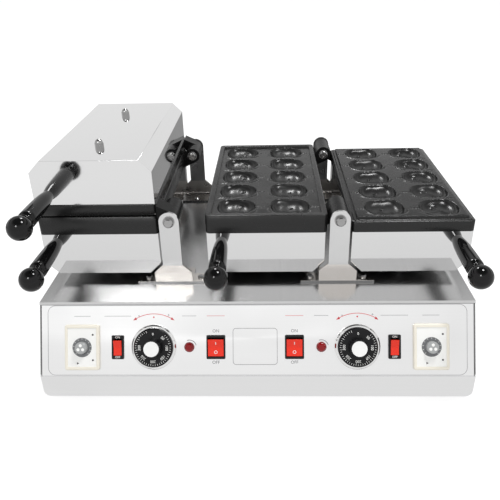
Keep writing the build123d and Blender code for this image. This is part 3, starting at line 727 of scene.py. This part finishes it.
def smooth_curve(knots, count):
    """A Catmull-Rom curve through the knots, as count points."""
    knots = np.asarray(knots, float)
    padded = np.vstack([2 * knots[0] - knots[1], knots, 2 * knots[-1] - knots[-2]])
    place = np.linspace(0, len(knots) - 1 - 1e-9, count)
    index = place.astype(int)
    t = (place - index)[:, None]
    a, b, c, d = (padded[index + i] for i in range(4))
    return 0.5 * (2 * b + (c - a) * t + (2 * a - 5 * b + 4 * c - d) * t**2 + (3 * b - a - 3 * c + d) * t**3)


def handle_profile():
    """Pairs of distance from the casing and radius: shank, shoulder, neck with its bead, and ball."""
    root, end, ball, reach = (HANDLE[size] for size in ("root", "end", "ball", "reach"))
    neck = end * NECK_SHARE
    shank = reach - ball * NECK_ROOM
    swell = smooth_curve(((0, root), *SWELL, (shank - SHANK_EASE, end)), 22)
    shoulder = [(shank - SHOULDER, end - SHOULDER)] + [(shank + past, neck + over) for past, over in COVE]
    bead = [(shank + BEAD["past"] + BEAD["long"] * sin(a), neck + BEAD["proud"] * cos(a))
            for a in np.linspace(-pi / 2, pi / 2, 9)]
    turn = np.linspace(np.arcsin(neck / ball), pi, 24)
    arc = np.stack([reach - ball * np.cos(turn), ball * np.sin(turn)], -1)
    arc[-1, 1] = 0
    return np.vstack([[(0, 0), (0, root)], swell[1:], shoulder, bead, arc])


def turned_points(profile, foot):
    """A profile of (distance forwards, radius) pairs carried round an axis that starts at foot."""
    angle = np.linspace(0, 2 * pi, AROUND, endpoint=False)
    ring = np.stack([-np.cos(angle), np.zeros(AROUND), -np.sin(angle)], -1)
    return np.array(foot) + profile[:, :1, None] * np.array((0.0, -1.0, 0.0)) + profile[:, 1:, None] * ring


def make_handle(head, half):
    profile = handle_profile()
    points = turned_points(profile, (HANDLE["x"], HANDLE["face"], -HANDLE["drop"])) * MM
    faces = grid_faces(len(profile), AROUND, around=True)
    add_piece(f"{head}_{half}_grip", half_place(points, head, half), faces, grip_black,
              f"{head}_{half}_half", "grip_black", [f"{head}_{half}_handle"], smooth=50)


for head, half in HALVES:
    make_handle(head, half)
print("handles:", len(HALVES))

# %% [markdown]
# The front carries printed rules, arcs and scales. Print lies on the sheet, so each mark is about a tenth of
# a millimetre thick and sunk a little to hide its underside. Marks are drawn in the panel's own plane: x
# from the middle, and y up the slope from the row of controls. All measures here are millimetres.

# %% Putting a mark on the panel
PRINT, SUNK = 0.12, 0.02
PRINT_SLOT = "black_plastic"
ROW_START = np.array(Vector((0, SLOPE_TOP, TRAY_TOP)) - UP_SLOPE * CONTROL_ROW)


def on_panel(x, y, out):
    """A place on the panel from arrays: across, up from the control row, and off the face."""
    x, y, out = (np.asarray(a, float) * MM for a in np.broadcast_arrays(x, y, out))
    place = ROW_START + y[..., None] * np.array(UP_SLOPE) + out[..., None] * np.array(OUTWARD)
    place[..., 0] += x
    return place


def height_off(name):
    """How far a node's outermost corner stands off the panel's face."""
    corners = np.empty(len(nodes[name].data.vertices) * 3)
    nodes[name].data.vertices.foreach_get("co", corners)
    from_edge = corners.reshape(-1, 3) - np.array((0, SLOPE_TOP, TRAY_TOP))
    return float((from_edge @ np.array(OUTWARD)).max() / MM)


print("the left timer's knob stands", round(height_off("left_timer_knob"), 1), "mm off the panel")

# %% [markdown]
# A band follows a path with an even width, a blot fills an outline, and words are a font's letters cut as a
# thin mesh.

# %% Bands, blots and words
LETTER_SIZE, LETTER_WEIGHT = 1.38, 0.012


def add_band(name, path, width, closed, place, *carried):
    """A band of even width along a path, whose corners place() sets down."""
    path = np.asarray(path, float)
    ahead = np.roll(path, -1, 0) - np.roll(path, 1, 0)
    if not closed:
        ahead[0], ahead[-1] = path[1] - path[0], path[-1] - path[-2]
    normal = np.stack([-ahead[:, 1], ahead[:, 0]], -1) / np.linalg.norm(ahead, axis=1)[:, None]
    left, right = path + normal * width / 2, path - normal * width / 2
    corners = ((left, -SUNK), (left, PRINT), (right, PRINT), (right, -SUNK))
    ring = np.stack([place(side[:, 0], side[:, 1], lift) for side, lift in corners], 1)
    if closed:
        ring = np.concatenate([ring, ring[:1]])
    faces = grid_faces(len(ring), 4, around=True)
    if not closed:
        last = 4 * (len(ring) - 1)
        faces += [[0, 1, 2, 3], [last + 3, last + 2, last + 1, last]]
    add_piece(name, ring, faces, *carried)


def strip_mark(name, path, width, material, body="base", out=0.0, closed=False):
    """A band in the panel's plane, at a height off its face."""
    def place(x, y, lift):
        return on_panel(x, y, out + lift)

    add_band(name, path, width, closed, place, material, body, PRINT_SLOT)


def blot(name, outline, material, body="base", out=0.0):
    x, y = np.asarray(outline, float).T
    ring = np.stack([on_panel(x, y, out - SUNK), on_panel(x, y, out + PRINT)])
    count = len(x)
    ends = [list(range(count)), list(range(2 * count - 1, count - 1, -1))]
    add_piece(name, ring, grid_faces(2, count, around=True) + ends, material, body, PRINT_SLOT)


def words(name, text, height, x, y, material, body="base", out=0.0, turn=0.0):
    """Letters cut as a thin mesh, turned in the panel's plane and set down on it."""
    curve = bpy.data.curves.new(name, "FONT")
    curve.body = text
    curve.align_x, curve.align_y = "CENTER", "CENTER"
    curve.size, curve.offset = height * LETTER_SIZE, height * LETTER_WEIGHT
    curve.extrude = PRINT / 2
    curve.resolution_u = 3
    holder = bpy.data.objects.new(name + "_curve", curve)
    bpy.context.scene.collection.objects.link(holder)
    bpy.context.view_layer.update()
    mesh = bpy.data.meshes.new_from_object(holder.evaluated_get(bpy.context.evaluated_depsgraph_get()))
    bpy.data.objects.remove(holder)
    corners = np.empty(len(mesh.vertices) * 3)
    mesh.vertices.foreach_get("co", corners)
    across, upward, lift = corners.reshape(-1, 3).T
    c, s = cos(radians(turn)), sin(radians(turn))
    faces = [list(face.vertices) for face in mesh.polygons]
    placed = on_panel(x + across * c - upward * s, y + across * s + upward * c, out + PRINT / 2 + lift)
    bpy.data.meshes.remove(mesh)
    add_piece(name, placed, faces, material, body, PRINT_SLOT)


def arc_path(x, y, radius, start, end, count=40):
    """Points of an arc, with angles in degrees from the right."""
    angle = np.radians(np.linspace(start, end, count))
    return np.stack([x + radius * np.cos(angle), y + radius * np.sin(angle)], -1)


def rounded_path(x0, x1, y0, y1, radius):
    corners = ((x1 - radius, y1 - radius, 0), (x0 + radius, y1 - radius, 90),
               (x0 + radius, y0 + radius, 180), (x1 - radius, y0 + radius, 270))
    return np.vstack([arc_path(x, y, radius, a, a + 90, 10) for x, y, a in corners])


print("a rounded outline has", len(rounded_path(-1, 1, -1, 1, 0.5)), "points")

# %% [markdown]
# A thin border runs round the controls. The dark line under the tray's lip is a painted shadow, dark
# lines mark where the side sheets meet the panel, the pale line along the lower fold is painted shade, and
# an outline lies in the middle.

# %% Lines on the sheet
SHEET_HALF, JOINT_X, LIP_Y, FOLD_Y = 289, 289.2, 57.0, -38.8
strip_mark("panel_border", rounded_path(-279, 279, -37.5, 55.8, radius=10), 0.5, grey_ink_and_painted_light, closed=True)
# Painted shadow under the tray's lip.
strip_mark("lip_shadow", [(-SHEET_HALF, LIP_Y), (SHEET_HALF, LIP_Y)], 1.2, grey_ink_and_painted_light)
# Painted shade along the lower fold.
strip_mark("fold_shade_line", [(-SHEET_HALF, FOLD_Y), (SHEET_HALF, FOLD_Y)], 0.5, pale_fold_shade)
for way, head in SIDES:
    strip_mark(f"{head}_panel_joint", [(way * JOINT_X, FOLD_Y + 2), (way * JOINT_X, LIP_Y)], 0.8, ink_black)
strip_mark("centre_frame", rounded_path(-29.4, 29.4, -23.5, 24.8, radius=4), 0.6, grey_ink_and_painted_light, closed=True)
print("border", 2 * 279, "mm wide")

# %% [markdown]
# Over each control stands a short rule. The thermostat has an arc with two arrow heads, a point and a minus
# and a plus, and the switches have ON and OFF.

# %% Rules, arcs and words
TIMER_X, TIMER_SWITCH_X, DIAL_X, LAMP_X, POWER_X = 232.0, 184.2, 135.5, 87.9, 52.3
RULES = {"timer": (TIMER_X, 22), "timer_switch": (TIMER_SWITCH_X, 36),
         "lamp": (LAMP_X, 19), "power": (POWER_X, 24)}
RULE_Y = 41.6
TEMP_Y, TEMP_RADIUS, ARROW_HALF, ARROW_TURN = -4, 48.5, 1.9, 3
SIGN_X, SIGN_Y = 20, 42.5
POWER_WORD, POWER_ON_Y, POWER_OFF_Y = 4.2, 21.2, -20.6
SWITCH_WORD, SWITCH_WORD_Y, SWITCH_FRAME_OUT = 2.9, 13.3, 2.0


def arrow_head(x, angle, turn):
    """Three corners: a tip on the arc ahead of the angle, and a base across the arc behind it."""
    tip, back = radians(angle + turn), radians(angle - turn)
    corners = ((TEMP_RADIUS, tip), (TEMP_RADIUS + ARROW_HALF, back), (TEMP_RADIUS - ARROW_HALF, back))
    return [(x + r * cos(a), TEMP_Y + r * sin(a)) for r, a in corners]


for way, head in SIDES:
    for mark, (x, width) in RULES.items():
        ends = [(way * x - width / 2, RULE_Y), (way * x + width / 2, RULE_Y)]
        strip_mark(f"{head}_{mark}_rule", ends, 0.5, ink_red if mark == "power" else grey_ink_and_painted_light)
    dial = way * DIAL_X
    strip_mark(f"{head}_temp_arc", arc_path(dial, TEMP_Y, TEMP_RADIUS, 58, 122), 0.8, ink_red)
    blot(f"{head}_temp_arrow_low", arrow_head(dial, 122, ARROW_TURN), ink_red)
    blot(f"{head}_temp_arrow_high", arrow_head(dial, 58, -ARROW_TURN), ink_red)
    blot(f"{head}_temp_point", arc_path(dial, 40.0, 1.1, 0, 345, 16), ink_red)
    words(f"{head}_temp_less", "-", 6, dial - SIGN_X, SIGN_Y, grey_ink_and_painted_light)
    words(f"{head}_temp_more", "+", 4, dial + SIGN_X, SIGN_Y, grey_ink_and_painted_light)
    # Painted highlight: a grey arc at the lamp's upper right stands for the lit part of a silver ring round it.
    strip_mark(f"{head}_lamp_ring_highlight", arc_path(way * LAMP_X, 0, 9.3, 15, 110, 20), 0.9, grey_ink_and_painted_light)
    words(f"{head}_power_on", "ON", POWER_WORD, way * POWER_X, POWER_ON_Y, grey_ink_and_painted_light)
    words(f"{head}_power_off", "OFF", POWER_WORD, way * POWER_X, POWER_OFF_Y, grey_ink_and_painted_light)
    for word, y in (("ON", SWITCH_WORD_Y), ("OFF", -SWITCH_WORD_Y)):
        words(f"{head}_switch_{word.lower()}", word, SWITCH_WORD, way * TIMER_SWITCH_X, y, ink_white,
              out=SWITCH_FRAME_OUT)
print("rules:", len(RULES) * len(SIDES))

# %% [markdown]
# The thermostat's skirt carries plain numbers and a fine scale, and it turns with the knob, so its marks
# ride on the dial.

# %% Scale on the thermostats
SKIRT_OUT, SKIRT_RADIUS = 7.5, 24.2
TICKS, TICK_START, TICK_STEP, TICK_SHORT, TICK_LONG = 40, 112.5, 7.5, 2.2, 3.2
NUMBERS = ("0", "50", "100", "150", "200", "250", "300")
NUMBER_STEP, NUMBER_RADIUS, NUMBER_SIZE = 45, 18.2, 3.6


def spoke(x, angle, inner, outer):
    """A short radial line about (x, 0), at an angle in radians."""
    return [(x + r * cos(angle), r * sin(angle)) for r in (inner, outer)]


def thermostat_marks(head, dial):
    """Ticks and numbers on one dial, whose middle is at dial."""
    body = f"{head}_thermostat_dial"
    for i in range(TICKS):
        inner = SKIRT_RADIUS - (TICK_SHORT if i % 5 else TICK_LONG)
        line = spoke(dial, radians(TICK_START + i * TICK_STEP), inner, SKIRT_RADIUS)
        strip_mark(f"{head}_dial_tick_{i}", line, 0.45, ink_white, body, SKIRT_OUT)
    for i, number in enumerate(NUMBERS):
        angle = 90 - i * NUMBER_STEP
        x, y = dial + NUMBER_RADIUS * cos(radians(angle)), NUMBER_RADIUS * sin(radians(angle))
        words(f"{head}_dial_number_{number}", number, NUMBER_SIZE, x, y, ink_white, body, SKIRT_OUT,
              turn=angle - 90)


print("ticks on a thermostat:", TICKS)

# %% [markdown]
# The timer's face is fixed: a dark grey ring with a light scale round the knob, two small indicator windows
# and a pointer. Three white lobes stand on the knob and turn with it.

# %% Faces of the timers
FACE_OUT, RING_RADIUS = 3.0, 13
LOBES, LOBE_FROM_AXIS, LOBE_RADIUS = 3, 3.6, 2.1
TIMER_TICKS, TIMER_START, TIMER_STEP = 11, 225, -27
WINDOW_X, WINDOW_RADIUS, WINDOWS = 14.5, 1.3, (("upper", 17), ("lower", -17))
POINTER = ((-7, -19.6), (-4.2, -21.2), (-7, -22.8))


def timer_marks(head, timer):
    """Ring, lobes, scale, windows and pointer of one timer, whose middle is at timer."""
    blot(f"{head}_timer_ring", arc_path(timer, 0, RING_RADIUS, 0, 350, 36), dial_grey, out=FACE_OUT)
    knob_out = height_off(f"{head}_timer_knob")
    for i in range(LOBES):
        turn = radians(90 + i * 360 / LOBES)
        x, y = timer + LOBE_FROM_AXIS * cos(turn), LOBE_FROM_AXIS * sin(turn)
        blot(f"{head}_timer_lobe_{i}", arc_path(x, y, LOBE_RADIUS, 0, 340, 18), face_white,
             f"{head}_timer_dial", knob_out)
    for i in range(TIMER_TICKS):
        line = spoke(timer, radians(TIMER_START + TIMER_STEP * i), 10.6, 12.4)
        strip_mark(f"{head}_timer_tick_{i}", line, 0.5, ink_white, out=FACE_OUT + 0.1)
    for spot, y in WINDOWS:
        round_window = arc_path(timer + WINDOW_X, y, WINDOW_RADIUS, 0, 345, 16)
        blot(f"{head}_timer_window_{spot}", round_window, ink_black, out=FACE_OUT)
    blot(f"{head}_timer_pointer", [(timer + x, y) for x, y in POINTER], ink_black, out=FACE_OUT)


for way, head in SIDES:
    thermostat_marks(head, way * DIAL_X)
    timer_marks(head, way * TIMER_X)
print("marks on a timer:", 2 + LOBES + TIMER_TICKS + len(WINDOWS))

# %% [markdown]
# A rocker's two halves meet in a shallow valley, and it rests with its upper end out. The I and O are
# printed on it and move with it, so they are bent onto its two slopes and then tilted about its pin.

# %% Marks on the power rockers
ROCKER = {"rise": 2.0, "crown": 1.9, "valley": 0.4, "pin": -1.0, "tilt": 9.0, "half": 11.5}


def rocker_point(x, y, out):
    """Turn a place on the rocker by its tilt about its pin."""
    c, s = cos(radians(ROCKER["tilt"])), sin(radians(ROCKER["tilt"]))
    lift = out - ROCKER["pin"]
    return x, y * c - lift * s, ROCKER["pin"] + y * s + lift * c


def rocker_face(y):
    """Height of the untilted rocker's face above the panel: two slopes that meet at the valley."""
    slope = (ROCKER["crown"] - ROCKER["valley"]) * abs(y) / ROCKER["half"]
    return ROCKER["rise"] + ROCKER["valley"] + slope


def rocker_mark(name, path, width, way, head, closed=False):
    """A band on the rocker: made flat at its middle, then bent onto its face and tilted."""
    def place(x, y, lift):
        return on_panel(*rocker_point(way * POWER_X + x, y, rocker_face(y) + lift))

    add_band(name, path, width, closed, place, ink_white, f"{head}_power_switch", "white_cap")


for way, head in SIDES:
    rocker_mark(f"{head}_rocker_line", [(0, 4.2), (0, 8.0)], 0.8, way, head)
    rocker_mark(f"{head}_rocker_ring", arc_path(0, -6.0, 1.9, 0, 345.0, 24), 0.7, way, head, closed=True)
print("the rocker's crown is", round(float(rocker_face(ROCKER["half"])), 1), "mm off the panel")

# %% [markdown]
# The machine stands on a pale sweep. To the camera the floor is nearly white and keeps a faint shadow. To a
# reflection it glows, bright in front of the machine and dim behind it, as a lit sweep does. To light it is
# only a pale surface. Light Path tells these three apart.

# %% Floor
FLOOR_FAR, FLOOR_NEAR, FLOOR_BEHIND = 0.95, 0.84, 0.30
FRONT_REACH, BACK_REACH = (-0.9, -0.3), (0.2, 0.45)
FLOOR_GLOW, FLOOR_SEEN, FLOOR_HALF = 0.80, 0.3, 8.0


def add_floor():
    """A wide pale floor whose glow in reflections is a level that falls with y."""
    paint = Paint("studio_floor", Roughness=0.9, Specular_IOR_Level=0.1, Emission_Strength=1.0)
    grain = paint.noise(3.0)
    seen = paint.node("ShaderNodeLightPath", output="Is Camera Ray")
    mirrored = paint.node("ShaderNodeLightPath", output="Is Glossy Ray")
    along = paint.axis("Y")
    near = paint.between(along, *FRONT_REACH, FLOOR_FAR, FLOOR_NEAR)
    level = near - paint.between(along, *BACK_REACH, 0.0, FLOOR_NEAR - FLOOR_BEHIND)
    lit = paint.blend(mirrored, paint.blend(grain, shade(0.70), shade(0.74)), shade(0.0))
    glow = paint.blend(mirrored * level, shade(0.0), shade(1.0))
    material = paint.finish(Base_Color=paint.blend(seen, lit, shade(FLOOR_SEEN)),
                            Emission_Color=paint.blend(seen, glow, shade(FLOOR_GLOW)))
    mesh = bpy.data.meshes.new("studio_floor")
    corners = [(x * FLOOR_HALF, y * FLOOR_HALF, 0) for x, y in ((-1, -1), (1, -1), (1, 1), (-1, 1))]
    mesh.from_pydata(corners, [], [(0, 1, 2, 3)])
    mesh.materials.append(material)
    floor = bpy.data.objects.new("studio_floor", mesh)
    bpy.context.scene.collection.objects.link(floor)


add_floor()
print("floor:", 2 * FLOOR_HALF, "m wide")

# %% [markdown]
# Bright metal is the colour of the room that it mirrors. The world is white to the camera. A reflection
# finds a bright room with a dark band low behind the machine and a dark ceiling, which give the tray and the
# casings their darker parts. As light the world is even and softer than both.

# %% World
ROOM_LIGHT, ROOM_SEEN = 0.70, 0.90
CEILING = {"start": 0.62, "end": 0.86, "level": 0.12}
GAP = {"low": 0.345, "high": 0.49, "level": 0.07, "low_blur": 0.03, "high_blur": 0.05, "behind": 0.4}


def add_world():
    """Strength by direction for reflections, and plain levels for the camera and for light."""
    world = bpy.data.worlds.new("studio")
    bpy.context.scene.world = world
    world.use_nodes = True
    graph = world.node_tree
    background = graph.nodes["Background"]

    def level(source, low, high, out_low, out_high):
        """Carry a range of an output onto another range, whose ends are numbers or outputs."""
        made = graph.nodes.new("ShaderNodeMapRange")
        ends = {"Value": source, "From Min": low, "From Max": high, "To Min": out_low, "To Max": out_high}
        for key, value in ends.items():
            if isinstance(value, bpy.types.NodeSocket):
                graph.links.new(value, made.inputs[key])
            else:
                made.inputs[key].default_value = value
        return made.outputs[0]

    path = graph.nodes.new("ShaderNodeLightPath").outputs
    direction = graph.nodes.new("ShaderNodeTexCoord").outputs["Generated"]
    split = graph.nodes.new("ShaderNodeSeparateXYZ")
    graph.links.new(direction, split.inputs[0])
    height = split.outputs["Z"]
    low, high = GAP["low"], GAP["high"]
    lower = level(height, low - GAP["low_blur"], low + GAP["low_blur"], ROOM_SEEN, GAP["level"])
    band = level(height, high - GAP["high_blur"], high + GAP["high_blur"], lower, ROOM_SEEN)
    behind = level(split.outputs["Y"], 0.0, GAP["behind"], 0.0, 1.0)
    room = level(behind, 0.0, 1.0, ROOM_SEEN, band)
    ceiling = level(height, CEILING["start"], CEILING["end"], room, CEILING["level"])
    unseen = level(path["Is Glossy Ray"], 0.0, 1.0, ROOM_LIGHT, ceiling)
    graph.links.new(level(path["Is Camera Ray"], 0.0, 1.0, unseen, 1.0), background.inputs["Strength"])
    background.inputs["Color"].default_value = (1, 1, 1, 1)


add_world()
print("world nodes:", len(bpy.context.scene.world.node_tree.nodes))

# %% [markdown]
# Three soft lamps shape the black pieces, which the room alone leaves flat. The one behind and the one
# overhead draw highlights in the moulds and on the handles, and the one in front lifts the panel.

# %% Lamps
LAMPS = {
    "rear_lamp": {"place": (-0.15, 1.0, 1.6), "aim": 0.20, "size": 0.3, "watts": 9},
    "high_lamp": {"place": (0.5, -0.1, 1.7), "aim": 0.20, "size": 0.3, "watts": 13},
    "front_lamp": {"place": (-0.6, -2.0, 1.9), "aim": 0.15, "size": 0.5, "watts": 13},
}


def add_lamp(name, place, aim, size, watts):
    """A square soft lamp that looks at a height above the machine's middle."""
    light = bpy.data.lights.new(name, "AREA")
    light.size = size
    light.energy = watts
    lamp = bpy.data.objects.new(name, light)
    lamp.location = place
    lamp.rotation_euler = (Vector((0, 0, aim)) - Vector(place)).to_track_quat("-Z", "Y").to_euler()
    bpy.context.scene.collection.objects.link(lamp)


for name, lamp in LAMPS.items():
    add_lamp(name, **lamp)
bpy.context.scene.view_settings.view_transform = "Standard"
print("lamps:", len(LAMPS))
